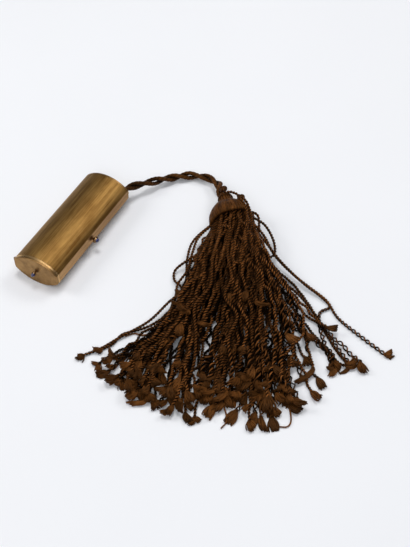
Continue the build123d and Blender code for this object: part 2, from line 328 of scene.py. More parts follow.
silk = {
    # crease shade: the crest values between which the painted shade in the creases lightens; deep: the
    # darkest share of that painted shade; depth: how sharply it darkens
    "cord": {
        "dark": (0.040, 0.014, 0.0036), "light": (0.220, 0.082, 0.0200), "fibre": 3.0, "rough": 0.46,
        "creaseShade": (0.3, 1.0), "deep": 0.12, "depth": 1.0, "shine": 0.09,
    },
    "strands": {
        "dark": (0.036, 0.0115, 0.0028), "light": (0.350, 0.126, 0.0330), "fibre": 2.2, "rough": 0.45,
        "creaseShade": (0.66, 0.99), "deep": 0.0, "depth": 2.4, "shine": 0.09,
    },
    "floss": {
        "dark": (0.058, 0.0185, 0.0042), "light": (0.290, 0.106, 0.0240), "fibre": 4.0, "rough": 0.42,
        "creaseShade": (0.1, 0.95), "deep": 0.10, "depth": 1.3, "shine": 0.12,
    },
}


def silkMaterial(name, look):
    # fine filaments along each thread, from its own lengthwise and round-the-thread values
    material, tree, shader = newMaterial(
        name, Roughness=look["rough"], Specular_IOR_Level=look["shine"], Specular_Tint=(1.0, 0.66, 0.36, 1)
    )

    def value(label):
        return setNode(tree, "ShaderNodeAttribute", attribute_name=label).outputs["Fac"]

    along = maths(tree, "MULTIPLY", value("along"), 0.22)
    threadPlace = {0: value("ringX"), 1: value("ringY"), 2: along}
    place = setNode(tree, "ShaderNodeCombineXYZ", threadPlace).outputs[0]
    fibres = noise(tree, place, look["fibre"], 3, 0.6)
    mottled = noise(tree, stretched(tree, (1, 1, 1)), 420, 3)
    mix = maths(tree, "MULTIPLY_ADD", fibres, 0.62, maths(tree, "MULTIPLY", mottled, 0.38))
    colour = ramp(tree, mix, (0.34, look["dark"]), (0.66, look["light"]))
    # painted shade: darker where the crest value is low, in the creases, and scaled by the stored shade and
    # tone value
    low, high = look["creaseShade"]
    lightened = {0: value("crest"), 1: low, 2: high, 3: look["deep"], 4: 1.0}
    creaseShade = setNode(tree, "ShaderNodeMapRange", lightened).outputs[0]
    sunk = maths(tree, "POWER", creaseShade, look["depth"])
    shade = maths(tree, "MULTIPLY", sunk, maths(tree, "MULTIPLY_ADD", value("tint"), 1.45, 0.04))
    level = setNode(tree, "ShaderNodeCombineXYZ", {0: shade, 1: shade, 2: shade}).outputs[0]
    tree.links.new(vectorMaths(tree, "MULTIPLY", colour, level), shader.inputs["Base Color"])
    bump(tree, shader, fibres, 0.00012, 0.7)
    return material


cordSilk = silkMaterial("cordSilk", silk["cord"])
strandSilk = silkMaterial("strandSilk", silk["strands"])
flossSilk = silkMaterial("flossSilk", silk["floss"])
print("materials made")

# distances in metres, angles in degrees, the lens in millimetres
camera = {"place": (0.1895, -0.2285, 0.32605), "tilt": 39.75, "turn": 28.13, "lens": 62.54}
cameraData = bpy.data.cameras.new("camera")
cameraData.lens = camera["lens"]
cameraData.sensor_width = 36
cameraData.clip_start = 0.01
cameraObject = bpy.data.objects.new("camera", cameraData)
cameraObject.location = camera["place"]
cameraObject.rotation_euler = (math.radians(camera["tilt"]), 0, math.radians(camera["turn"]))
scene.collection.objects.link(cameraObject)
scene.camera = cameraObject

studio = {
    "floorSize": 3.0,
    "floorColour": (0.90, 0.91, 0.935),
    "world": (0.93, 0.95, 1.0),
    "worldStrength": 0.22,
    "lights": [  # name, place, size, power, colour
        ("backWindow", (0.30, 0.78, 0.95), (0.52, 0.38), 2.9, (1.0, 0.99, 0.97)),
        ("topSoft", (-0.1, 0.22, 1.15), (0.35, 0.35), 4.7, (1.0, 1.0, 1.0)),
        ("leftSoft", (-0.88, -0.25, 0.80), (0.5, 0.5), 3.4, (1.0, 0.99, 0.97)),
        ("frontSoft", (0.34, -0.80, 1.05), (0.9, 0.9), 6.0, (0.97, 0.98, 1.0)),
    ],
}
floorMaterial, tree, shader = newMaterial("floorPaper", Roughness=0.85, Specular_IOR_Level=0.15)
paper = noise(tree, stretched(tree, (1, 1, 1)), 9, 2)
low = tuple(0.985 * c for c in studio["floorColour"])
tree.links.new(ramp(tree, paper, (0.3, low), (0.7, studio["floorColour"])), shader.inputs["Base Color"])
half = studio["floorSize"] / 2
floorMesh = bpy.data.meshes.new("floor")
corners = [(-half, -half, 0), (half, -half, 0), (half, half, 0), (-half, half, 0)]
floorMesh.from_pydata(corners, [], [(0, 1, 2, 3)])
floorMesh.materials.append(floorMaterial)
floor = bpy.data.objects.new("floor", floorMesh)
scene.collection.objects.link(floor)
floor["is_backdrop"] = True

world = bpy.data.worlds.new("studio")
world.use_nodes = True
world.node_tree.nodes["Background"].inputs["Color"].default_value = (*studio["world"], 1)
world.node_tree.nodes["Background"].inputs["Strength"].default_value = studio["worldStrength"]
scene.world = world
for name, place, size, power, colour in studio["lights"]:
    data = bpy.data.lights.new(name, "AREA")
    data.shape = "RECTANGLE"
    data.size, data.size_y = size
    data.energy = power
    data.color = colour
    lamp = bpy.data.objects.new(name, data)
    lamp.location = place
    lamp.rotation_euler = (Vector((0.06, 0, 0)) - Vector(place)).to_track_quat("-Z", "Y").to_euler()
    scene.collection.objects.link(lamp)
scene.view_settings.view_transform = "Standard"
print("camera, floor and light made")

caseShift = np.array([-1.2, 1.25, 0.0])  # the case's own middle from the frame's origin
cordSettings = {
    "route": [
        (8.1, 29.1, 7.5), (9.0, 33.3, 7.3), (11.3, 37.5, 6.5), (14.2, 42.0, 5.3),
        (17.0, 46.9, 4.0), (20.4, 51.6, 3.0), (24.6, 56.2, 2.5), (29.6, 59.6, 2.4),
        (35.5, 60.9, 2.9), (41.3, 59.6, 4.1), (46.0, 56.0, 5.9), (48.8, 50.6, 7.4), (51.6, 47.3, 7.9),
    ],
    "diameter": 4.0,
    "pitch": 19.0,  # one full turn of the two strands
    "strandTwist": 5.2,  # one full turn of a strand on itself
    "lobes": 3,
    "sides": 30,
    "step": 0.42,
}


def cordLine(settings):
    # the smooth line that the cord's route controls, as points
    data = bpy.data.curves.new("cordLine", "CURVE")
    data.dimensions = "3D"
    data.resolution_u = 24
    spline = data.splines.new("NURBS")
    spline.points.add(len(settings["route"]) - 1)
    for point, place in zip(spline.points, settings["route"]):
        point.co = (*((np.array(place) + caseShift) * mm), 1)
    spline.order_u = 3
    spline.use_endpoint_u = True
    holder = bpy.data.objects.new("cordLine", data)
    scene.collection.objects.link(holder)
    bpy.context.view_layer.update()
    mesh = bpy.data.meshes.new_from_object(holder.evaluated_get(bpy.context.evaluated_depsgraph_get()))
    points = np.array([v.co for v in mesh.vertices], float) / mm
    bpy.data.objects.remove(holder)
    bpy.data.meshes.remove(mesh)
    return points


def buildCord(settings):
    route = cordLine(settings)
    line = evenLine(route, settings["step"])
    run = np.arange(len(line)) * settings["step"]
    across, up = carriedFrames(line)
    threadRadius = settings["diameter"] / 4
    parts, values = [], {"along": [], "ringX": [], "ringY": [], "tint": [], "crest": []}
    for strand in range(2):
        loose = 1.0 + 0.10 * np.sin(run * 0.33 + 1.0 + strand)  # the strands gape a little here and there
        angle = 2 * np.pi * run / settings["pitch"] + strand * np.pi + 0.25 * np.sin(run * 0.21) + 1.1
        offset = threadRadius * loose * 1.02
        path = line + (across * np.cos(angle)[:, None] + up * np.sin(angle)[:, None]) * offset[:, None]
        around = np.linspace(0, 2 * np.pi, settings["sides"], endpoint=False)
        twist = 2 * np.pi * run[:, None] / settings["strandTwist"]
        lobes = np.abs(np.cos(settings["lobes"] * (around[None, :] + twist) / 2))
        fine = np.cos(settings["lobes"] * 4 * (around[None, :] + twist))
        radius = threadRadius * (0.86 + 0.17 * lobes + 0.018 * fine)
        radius = radius * (1 + 0.04 * np.sin(run * 0.9 + strand))[:, None]
        parts.append(tubeMesh(path, settings["sides"], radius))
        values["along"].append(np.repeat(run, settings["sides"]))
        values["ringX"].append(np.cos(around[None, :] + twist).ravel() + 3 * strand)
        values["ringY"].append(np.sin(around[None, :] + twist).ravel())
        shade = 0.30 + 0.22 * smoothStep((run - 14) / 30) + 0.05 * np.sin(run * 0.5 + strand * 2)
        values["tint"].append(np.repeat(shade, settings["sides"]))
        # painted shade: darker in the creases between the two strands and between their lobes
        apart = np.linalg.norm(parts[-1][0].reshape(len(line), -1, 3) - line[:, None, :], axis=2)
        values["crest"].append(((apart / (2 * threadRadius)) * (0.55 + 0.45 * lobes)).ravel())
    points, faces = joined(parts)
    piece = makePiece("twistedCord", points, faces, cordSilk)
    addValues(piece, **{key: np.concatenate(chunks) for key, chunks in values.items()})
    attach(piece, "case")
    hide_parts("cord")
    return piece, route


cordPiece, cordRoute = buildCord(cordSettings)
print("cord made:", len(cordRoute), "line points")

# the case's section across its length, in millimetres
section = {"width": 22.4, "height": 14.5, "rise": 4.8, "wall": 0.7}
reeds = {"pitch": 0.7, "depth": 0.036, "uneven": 0.9, "perReed": 8, "seed": 7}
caseLengths = {"lid_shell": (-27.9, 29.0), "base_shell": (-28.0, 29.1)}


def makeReedTree():
    # an outline with an "outer" value, reeded where that is 1, drawn out along Y to a solid
    sockets = [
        ("Reed Pitch", "NodeSocketFloat"), ("Reed Depth", "NodeSocketFloat"),
        ("Unevenness", "NodeSocketFloat"), ("Length", "NodeSocketFloat"),
        ("Seed", "NodeSocketInt"), ("Material", "NodeSocketMaterial"),
    ]
    tree, given = newShapeTree("reededShell", sockets)
    line = setNode(tree, "GeometryNodeMeshToCurve", {"Mesh": given["Geometry"]}).outputs[0]
    reach, outer = storedValue(tree, "reach"), storedValue(tree, "outer")
    outward = storedValue(tree, "outward", "FLOAT_VECTOR")
    turns = maths(tree, "DIVIDE", reach, given["Reed Pitch"])
    reed = maths(tree, "FLOOR", turns)
    draw = {"ID": reed, "Seed": given["Seed"]}
    chance = setNode(tree, "FunctionNodeRandomValue", draw, data_type="FLOAT")
    crest = maths(tree, "ABSOLUTE", maths(tree, "SINE", maths(tree, "MULTIPLY", turns, math.pi)))
    cut = maths(tree, "SUBTRACT", 1.0, crest)
    change = maths(tree, "MULTIPLY_ADD", chance.outputs[1], given["Unevenness"], 1.0)
    depth = maths(tree, "MULTIPLY", maths(tree, "MULTIPLY", cut, change), given["Reed Depth"])
    inward = maths(tree, "MULTIPLY", maths(tree, "MULTIPLY", depth, outer), -1.0)
    offset = scaled(tree, outward, inward)
    moved = setNode(tree, "GeometryNodeSetPosition", {"Geometry": line, "Offset": offset}).outputs[0]
    face = setNode(tree, "GeometryNodeFillCurve", {"Curve": moved}, mode="NGONS").outputs[0]
    drawn = {"Mesh": face, "Offset Scale": given["Length"], "Individual": False}
    flat = setNode(tree, "GeometryNodeExtrudeMesh", drawn)
    back = setNode(tree, "GeometryNodeFlipFaces", {"Mesh": face}).outputs[0]
    both = tree.nodes.new("GeometryNodeJoinGeometry")
    tree.links.new(flat.outputs[0], both.inputs[0])
    tree.links.new(back, both.inputs[0])
    merged = {"Geometry": both.outputs[0], "Distance": 1e-6}
    whole = setNode(tree, "GeometryNodeMergeByDistance", merged).outputs[0]
    finishShapeTree(tree, whole, given["Material"])
    return tree


reedTree = makeReedTree()


def arcPoints(radius, centreZ, halfWidth, count, upwards):
    angle = math.asin(halfWidth / radius)
    turn = np.linspace(-angle, angle, count)
    return np.stack([radius * np.sin(turn), centreZ + upwards * radius * np.cos(turn)], 1), turn * radius


def buildShell(nodeName, body, upwards):
    # one arched half of the case. The outline lies in the XY plane, and its third axis becomes -Y.
    halfWidth = section["width"] / 2
    radius = (halfWidth**2 + section["rise"] ** 2) / (2 * section["rise"])
    top = section["height"] if upwards > 0 else 0.0
    centreZ = top - upwards * radius
    edgeZ = top - upwards * section["rise"]
    count = int(2 * halfWidth * 1.06 / reeds["pitch"]) * reeds["perReed"]
    outer, reach = arcPoints(radius, centreZ, halfWidth - 0.16, count, upwards)
    inner, _ = arcPoints(radius - section["wall"], centreZ, halfWidth - section["wall"] - 0.01, 48, upwards)
    corner = [(halfWidth - 0.05, edgeZ + upwards * 0.06), (halfWidth - 0.02, edgeZ)]
    insideCorner = [(halfWidth - section["wall"], edgeZ)]
    outline = np.array(
        [(-x, z) for x, z in reversed(corner)] + outer.tolist() + corner + insideCorner
        + inner[::-1].tolist() + [(-x, z) for x, z in insideCorner]
    )
    start, end = len(corner), len(corner) + len(outer)
    mask = np.zeros(len(outline))
    mask[start:end] = smoothStep((halfWidth - 0.5 - np.abs(outer[:, 0])) / 0.5)
    reachAll = np.zeros(len(outline))
    reachAll[start:end] = reach + 50 * reeds["pitch"]
    outward = np.zeros((len(outline), 3))
    outward[start:end, 0] = outer[:, 0] / radius
    outward[start:end, 1] = (outer[:, 1] - centreZ) / radius
    mesh = bpy.data.meshes.new(nodeName + "Outline")
    flat = np.column_stack([outline, np.zeros(len(outline))]) * mm
    edges = [(i, (i + 1) % len(outline)) for i in range(len(outline))]
    mesh.from_pydata(flat.tolist(), edges, [])
    for label, values in (("outer", mask), ("reach", reachAll * mm)):
        mesh.attributes.new(label, "FLOAT", "POINT").data.foreach_set("value", values.astype(np.float32))
    stored = mesh.attributes.new("outward", "FLOAT_VECTOR", "POINT").data
    stored.foreach_set("vector", outward.astype(np.float32).ravel())
    low, high = caseLengths[nodeName]
    settings = {
        "Reed Pitch": reeds["pitch"] * mm, "Reed Depth": reeds["depth"] * mm, "Unevenness": reeds["uneven"],
        "Length": (high - low) * mm, "Seed": reeds["seed"], "Material": reededGold,
    }
    name = "reededLid" if upwards > 0 else "reededBase"
    piece = grow(name, mesh, reedTree, settings)
    work = bmesh.new()
    work.from_mesh(piece.data)
    depths = [v.co.z for v in work.verts]
    shift = max(depths) if max(depths) > 1e-5 else 0.0
    for v in work.verts:  # the outline's own plane becomes upright, the length runs along Y
        along = high * mm - (shift - v.co.z)
        v.co = (v.co.x + caseShift[0] * mm, along + caseShift[1] * mm, v.co.y)
    bmesh.ops.recalc_face_normals(work, faces=work.faces)
    work.to_mesh(piece.data)
    work.free()
    piece.data.shade_smooth()
    piece.data.set_sharp_from_angle(angle=math.radians(38))
    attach(piece, body)
    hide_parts(nodeName)
    return piece


buildShell("base_shell", "case", -1)
buildShell("lid_shell", "lid", 1)

cadFinishes = {
    plainGold: [
        "base_band_hinge_side", "base_band_front", "base_hinge_knuckles",
        "lid_band_hinge_side", "lid_band_front", "lid_hinge_knuckles",
    ],
    plateGold: ["far_end_plate", "end_lid_plate", "end_frame_knuckles", "end_lid_knuckle"],
    polishedGold: ["end_frame", "cord_bush"],
    wornGold: ["thumbpiece", "end_button"],
    giltInside: [
        "end_box", "end_bulkhead", "end_lid_collar", "lid_catch", "thumbpiece_flange", "end_button_flange",
    ],
    springSteel: [
        "lid_hinge_pin", "end_hinge_pin", "latch_spring", "latch_posts", "end_latch_spring",
        "end_spring_post",
    ],
    blueStone: ["thumbpiece_stone", "end_button_stone"],
}
for material, names in cadFinishes.items():
    for name in names:
        materials = nodes[name].data.materials
        materials.clear()
        materials.append(material)
print("case made")

skirt = {
    # five lines down the fan, each from the cap's rim to the tips, in plan
    "lines": [
        [(53, 32), (57, 13), (59, -6), (57, -24), (49, -41), (40, -52)],
        [(56, 34), (63, 13), (67, -8), (67, -27), (67, -45), (70, -60)],
        [(61, 37), (71, 15), (80, -4), (88, -22), (95, -40), (102, -56)],
        [(66, 41), (78, 22), (92, 4), (104, -13), (115, -29), (126, -44)],
        [(69, 44), (82, 30), (97, 22), (113, 15), (128, 8), (143, 3)],
    ],
    # how the strands share out the fan's tips: a strand's rank among them, its place across the fan
    "shares": (
        [0, 0.03, 0.10, 0.45, 0.77, 0.91, 0.97, 1],
        [0, 0.10, 0.19, 0.45, 0.68, 0.79, 0.90, 1],
    ),
    # how high a strand may lie: mm down the strand, mm above the floor
    "ceiling": ([0, 20, 45, 70, 92, 110], [13.5, 10.5, 8.4, 6.0, 3.6, 2.4]),
    "strands": 156,
    "length": (97, 6.0),  # mean and spread
    "shortLength": (52, 78),
    "shortLevel": 0.82,  # strands above this level of the pile may end early
    "lineStep": 0.7,
    "plyStep": 0.6,
    "plyRadius": 0.335,
    "plyOffset": 0.365,
    "pitch": 2.85,
    "ringStep": 0.42,
    "ringSides": 6,
    "hollow": (0.35, 0.45),  # mm below the pile's top where a strand's painted shade starts, and how fast it darkens
    "stack": 0.5,  # how far a strand's middle lies above the pile, in strand radii
    # how far a strand moves from its rank, at the rim and at the tips, and from its line
    "rankSpread": (0.09, 0.028),
    "lineSpread": 1.3,
    # sideways waves, each with its size and its length: fine, slow and sharp
    "ripple": (0.08, 0.5),
    "rippleLength": (5.5, 10),
    "strongRipple": 0.25,  # the share of strands whose ripple is doubled
    "drift": 1.5,
    "driftLength": (9, 22),
    "waver": 0.55,
    "waverLength": (2.6, 5.0),
    "heave": (0.2, 1.5),  # and the waves up from the pile
    "seed": 27,
}
head = {
    "top": np.array([52.3, 48.8, 8.0]) + caseShift,
    "axis": unit(np.array([0.62, -0.78, -0.03])),
    "neckRadius": 3.2,
    "neckLength": 4.4,
    "capLength": 9.6,
    "capHalfWidth": 9.9,
    "capHalfHeight": 7.4,
}
headSide = unit(np.cross(head["axis"], (0, 0, 1)))  # towards the cap's left
headUp = np.cross(headSide, head["axis"])
neckEnd = head["top"] + head["axis"] * head["neckLength"]
rimCentre = neckEnd + head["axis"] * head["capLength"]
strandRadius = skirt["plyRadius"] + skirt["plyOffset"]


def fanPoint(row, place):
    # a point of the fan: row counts down the lines, place runs across them from 0 to 1
    lines = np.array(skirt["lines"], float)
    at = np.linspace(0, 1, len(lines))
    return np.array([np.interp(place, at, lines[:, row, k]) for k in range(2)])


class Pile:
    # how high the strands already lie, on a fine grid
    cell = 0.5

    def __init__(self):
        self.low = np.array([20.0, -90.0])
        self.size = (int(160 / self.cell), int(160 / self.cell))
        self.top = np.zeros(self.size)

    def cells(self, plan):
        at = np.round((plan - self.low) / self.cell).astype(int)
        return np.clip(at, 2, np.array(self.size) - 3)

    def under(self, plan):
        at = self.cells(plan)
        reach = (-1, 0, 1)
        return np.max([self.top[at[:, 0] + i, at[:, 1] + j] for i in reach for j in reach], axis=0)

    def around(self, plan):
        # the mean height of the pile's top about each point
        at = self.cells(plan)
        reach = range(-2, 3)
        return np.mean([self.top[at[:, 0] + i, at[:, 1] + j] for i in reach for j in reach], axis=0)

    def lay(self, plan, height, radius):
        at = self.cells(plan)
        for i in (-1, 0, 1):
            for j in (-1, 0, 1):
                drop = 0.16 * (i * i + j * j)
                np.maximum.at(self.top, (at[:, 0] + i, at[:, 1] + j), height + radius - drop)


def smoothed(values, width):
    kernel = np.exp(-0.5 * (np.arange(-3 * width, 3 * width + 1) / width) ** 2)
    padded = np.pad(values, 3 * width, mode="edge")
    return np.convolve(padded, kernel / kernel.sum(), mode="valid")


def strandHeight(plan, rootHeight, pile, level):
    # a strand comes down from its root, then lies on whatever is under it
    run = np.concatenate([[0], np.cumsum(np.linalg.norm(np.diff(plan, axis=0), axis=1))])
    ceiling = np.interp(run, *skirt["ceiling"])
    bed = pile.under(plan) + strandRadius * skirt["stack"]
    bed = np.maximum(np.minimum(bed, ceiling), strandRadius)
    height = np.maximum(smoothed(bed, 9), smoothed(smoothed(bed, 4) - 0.15, 3))
    height = np.maximum(height, strandRadius)
    settle = smoothStep(run / 24.0)
    rise = 1.1 * level * np.sin(np.pi * np.clip(run / 14, 0, 1))
    return (rootHeight + rise) * (1 - settle) + height * settle, run


def makeStrands(settings):
    rng = np.random.default_rng(settings["seed"])
    pile = Pile()
    strands = []
    count = settings["strands"]
    ranks = (np.arange(count) + 0.5) / count
    levels = rng.random(count)
    for index in np.argsort(levels):
        rank, level = ranks[index], levels[index]
        rootPlace, tipRank = 1 - np.abs(1 - np.abs(rank + rng.normal(0, settings["rankSpread"])))
        tipPlace = np.interp(tipRank, *settings["shares"])
        rows = len(settings["lines"][0])
        places = rootPlace + (tipPlace - rootPlace) * smoothStep((np.arange(rows) / (rows - 1) - 0.1) / 0.8)
        plan = np.array([fanPoint(row, place) for row, place in enumerate(places)])
        loose = rng.normal(0, settings["lineSpread"], (rows - 2, 2))
        plan[1:-1] += loose * np.linspace(0.5, 1.5, rows - 2)[:, None]
        # the root starts inside the cap
        rootAcross = np.dot(plan[0] - rimCentre[:2], headSide[:2])
        root = rimCentre + headSide * rootAcross * 0.55 - head["axis"] * rng.uniform(4.5, 7)
        mouth = rimCentre + headSide * rootAcross * 0.84 + head["axis"] * 0.4
        plan = np.vstack([root[:2], mouth[:2], plan[1:]])
        step = settings["lineStep"]
        line = softLine(plan, step)
        early = level > settings["shortLevel"] and rng.random() < 0.55
        length = rng.uniform(*settings["shortLength"]) if early else rng.normal(*settings["length"])
        line = line[: max(40, min(len(line), int(length / step)))]
        run = np.arange(len(line)) * step
        normal = unit(np.column_stack([-np.gradient(line[:, 1]), np.gradient(line[:, 0])]))
        ripple = rng.uniform(*settings["ripple"]) * smoothStep((run - 4) / 32)
        if rng.random() < settings["strongRipple"]:
            ripple = ripple * 2.0
        wave = np.sin(2 * np.pi * run / rng.uniform(*settings["rippleLength"]) + rng.uniform(*anyPhase))
        drift = rng.normal(0, settings["drift"])
        drift = drift * np.sin(run / rng.uniform(*settings["driftLength"]) + rng.uniform(*anyPhase))
        drift = drift * smoothStep((run - 3) / 22)
        waver = rng.normal(0, settings["waver"])
        waver = waver * np.sin(run / rng.uniform(*settings["waverLength"]) + rng.uniform(*anyPhase))
        waver = waver * smoothStep((run - 8) / 10)
        line = line + normal * (ripple * wave + drift + waver)[:, None]
        spread = max(0.1, 1 - (2 * rank - 1) ** 2) ** 0.5
        rootHeight = rimCentre[2] + (2 * level - 1) * head["capHalfHeight"] * 0.66 * spread
        height, run = strandHeight(line, rootHeight, pile, level)
        heave = level * rng.uniform(*settings["heave"])
        waves = 2 * np.pi * run / rng.uniform(*settings["driftLength"]) + rng.uniform(*anyPhase)
        heave = heave * (1 + np.sin(waves))
        height += heave * smoothStep((run - 8) / 20)
        keep = run > 16
        pile.lay(line[keep], height[keep], strandRadius * 0.8)
        opened = 0.0
        if rank > 0.66 and rng.random() < 0.6:
            opened = rng.uniform(0.5, 1.0)
        elif rng.random() < 0.12:
            opened = rng.uniform(0.3, 0.7)
        # painted shade: strands lower in the pile are darker, with a random tone on top
        tint = max(0.03, 0.9 * level**1.5 + rng.normal(0, 0.12))
        look = {"opened": opened, "tint": tint, "phase": rng.uniform(*anyPhase)}
        strands.append({"line": np.column_stack([line, height]), **look})
    return strands, rng


strays = {
    # single strands that leave the bundle: a few points each, and how far the plies have opened
    "leftBulge": ([
        (54, 35, 7), (50, 22, 5), (52, 12, 3.5), (57, 2, 3), (59, -6, 4), (57, -14, 4), (54, -26, 2.6),
        (47, -38, 1.2), (43, -46, 0.8), (38, -53, 0.8),
    ], 0.0),
    "leftInner": ([
        (55, 35, 8), (51.5, 24, 6), (53, 15, 5), (55.5, 6, 4), (55, -2, 2.5), (58, -10, 3),
        (60, -22, 3), (58, -35, 2),
    ], 0.0),
    "leftLoop": ([
        (61, 22, 8), (54, 12, 5), (50, 5, 2.2), (52, 0, 1.5), (57, -3, 3), (61, -9, 5), (63, -20, 5),
        (60, -33, 3), (54, -45, 1.2),
    ], 0.0),
    "leftCurl": ([
        (62, 0, 7), (61, -16, 5), (57, -26, 3.2), (52, -31, 1.4), (47, -36, 0.8), (46, -42, 0.8),
        (43, -47, 0.8),
    ], 0.0),
    "rightBulge": ([
        (67, 44, 9), (75, 43, 8), (82, 38, 6), (85.5, 32, 4.5), (84, 26, 5), (87, 16, 6), (95, 3, 5),
        (104, -8, 3.4), (113, -20, 1.8), (118, -30, 0.9),
    ], 0.3),
    "rightLong": ([
        (67, 43, 8), (77, 38, 7), (86, 31, 5), (97, 26.5, 3), (106, 24, 2), (116, 21, 1.2),
        (124, 15, 0.8), (136, 10.5, 0.8), (149, 6.5, 0.8),
    ], 0.5),
    "rightTurn": ([
        (66, 42, 9), (79, 35, 7), (90, 29, 5), (103, 24, 3), (112, 22, 1.6), (118.5, 19, 0.9),
        (116, 14, 0.9), (119, 7, 0.8), (125, -1, 0.8), (130, -7, 0.8),
    ], 0.7),
    "crossing": ([
        (64, 36, 11), (69, 26, 10.6), (77, 20, 10.2), (86, 18.5, 8.6), (94, 19, 5.6), (104, 17, 3.2),
        (114, 12, 1.8), (126, 3, 0.9), (138, -5, 0.8),
    ], 0.6),
    "kneeOne": ([
        (64, 34, 12.5), (69, 18, 12), (77, 6, 11), (79, -4, 10), (88, -10, 9.2), (90, -22, 7.6),
        (98, -34, 5), (100, -47, 2.6),
    ], 0.4),
    "kneeTwo": ([
        (60, 32, 12), (65, 12, 11.8), (71, -2, 10.6), (70, -14, 9.4), (77, -26, 8), (83, -40, 5),
        (82, -52, 2.4),
    ], 0.0),
}


def makePlyTree():
    # each strand's line becomes two plies turning about it
    sockets = [
        ("Ply Radius", "NodeSocketFloat"), ("Ring Step", "NodeSocketFloat"),
        ("Ring Sides", "NodeSocketInt"), ("Material", "NodeSocketMaterial"),
    ]
    tree, given = newShapeTree("pliedStrand", sockets)

    def store(shape, label, value, kind="FLOAT"):
        inputs = {"Geometry": shape, "Name": label, "Value": value}
        kinds = {"data_type": kind, "domain": "POINT"}
        return setNode(tree, "GeometryNodeStoreNamedAttribute", inputs, **kinds).outputs[0]

    def position():
        return setNode(tree, "GeometryNodeInputPosition").outputs[0]

    line = setNode(tree, "GeometryNodeMeshToCurve", {"Mesh": given["Geometry"]}).outputs[0]
    spaced = {"Curve": line, "Length": given["Ring Step"]}
    even = setNode(tree, "GeometryNodeResampleCurve", spaced, mode="LENGTH").outputs[0]
    reach = maths(tree, "MULTIPLY", setNode(tree, "GeometryNodeSplineParameter").outputs["Length"], 1000.0)
    even = store(even, "along", reach)
    even = store(even, "middle", position(), "FLOAT_VECTOR")
    circle = {"Resolution": given["Ring Sides"], "Radius": given["Ply Radius"]}
    ring = setNode(tree, "GeometryNodeCurvePrimitiveCircle", circle).outputs[0]
    place = setNode(tree, "ShaderNodeSeparateXYZ", {0: position()})
    for label, side in (("ringX", 0), ("ringY", 1)):
        ring = store(ring, label, maths(tree, "DIVIDE", place.outputs[side], given["Ply Radius"]))
    across = setNode(tree, "GeometryNodeInputNormal").outputs[0]
    forward = setNode(tree, "GeometryNodeInputTangent").outputs[0]
    upward = vectorMaths(tree, "CROSS_PRODUCT", forward, across)
    both = tree.nodes.new("GeometryNodeJoinGeometry")
    for ply in range(2):
        angle = maths(tree, "ADD", storedValue(tree, "turn"), ply * math.pi)
        reachAcross = maths(tree, "MULTIPLY", maths(tree, "COSINE", angle), storedValue(tree, "spread"))
        reachUp = maths(tree, "MULTIPLY", maths(tree, "SINE", angle), storedValue(tree, "spread"))
        offset = vectorMaths(tree, "ADD", scaled(tree, across, reachAcross), scaled(tree, upward, reachUp))
        moved = setNode(tree, "GeometryNodeSetPosition", {"Geometry": even, "Offset": offset}).outputs[0]
        swept = {"Curve": moved, "Profile Curve": ring, "Fill Caps": True}
        tree.links.new(setNode(tree, "GeometryNodeCurveToMesh", swept).outputs[0], both.inputs[0])
    # how far a point lies out from the strand's own middle: the creases between the plies get painted shade
    out = vectorMaths(tree, "SUBTRACT", position(), storedValue(tree, "middle", "FLOAT_VECTOR"))
    reachOut = maths(tree, "ADD", given["Ply Radius"], storedValue(tree, "spread"))
    crest = maths(tree, "DIVIDE", vectorMaths(tree, "LENGTH", out), reachOut)
    shaded = store(both.outputs[0], "crest", crest)
    # painted shade: the flanks, turned towards the neighbouring strands, are darker than the tops
    rise = maths(tree, "DIVIDE", setNode(tree, "ShaderNodeSeparateXYZ", {0: out}).outputs["Z"], reachOut)
    flankShade = setNode(tree, "ShaderNodeMapRange", {0: rise, 1: -0.1, 2: 0.62, 3: 0.0, 4: 1.0}).outputs[0]
    shaded = store(shaded, "tint", maths(tree, "MULTIPLY", storedValue(tree, "tint"), flankShade))
    finishShapeTree(tree, shaded, given["Material"])
    return tree


plyTree = makePlyTree()


def growStrands(name, strands, settings):
    points, edges, turn, spread, tints, first = [], [], [], [], [], 0
    for strand in strands:
        line = evenLine(strand["line"], settings["plyStep"])
        run = np.arange(len(line)) * settings["plyStep"]
        loosened = strand["opened"] * smoothStep((run - run[-1] + 30) / 16)
        apart = settings["plyOffset"] + 0.5 * loosened
        line[:, 2] = np.maximum(line[:, 2], apart + settings["plyRadius"])
        pitch = settings["pitch"] + loosened * 4.6
        turns = np.concatenate([[0], np.cumsum(settings["plyStep"] / pitch[:-1])])
        points.append(line)
        edges += [(first + i, first + i + 1) for i in range(len(line) - 1)]
        first += len(line)
        turn.append(strand["phase"] + 2 * np.pi * turns)
        spread.append(apart * mm)
        # the painted hollow shade, carried along the ply line
        shadeAt = np.linspace(0, 1, len(strand["shade"]))
        shade = np.interp(np.linspace(0, 1, len(line)), shadeAt, strand["shade"])
        tints.append(strand["tint"] * shade)
    mesh = bpy.data.meshes.new(name + "Lines")
    mesh.from_pydata((np.vstack(points) * mm).tolist(), edges, [])
    for label, values in (("turn", turn), ("spread", spread), ("tint", tints)):
        data = mesh.attributes.new(label, "FLOAT", "POINT").data
        data.foreach_set("value", np.concatenate(values).astype(np.float32))
    given = {
        "Ply Radius": settings["plyRadius"] * mm, "Ring Step": settings["ringStep"] * mm,
        "Ring Sides": settings["ringSides"], "Material": strandSilk,
    }
    piece = grow(name, mesh, plyTree, given)
    piece.data.shade_smooth()
    return piece


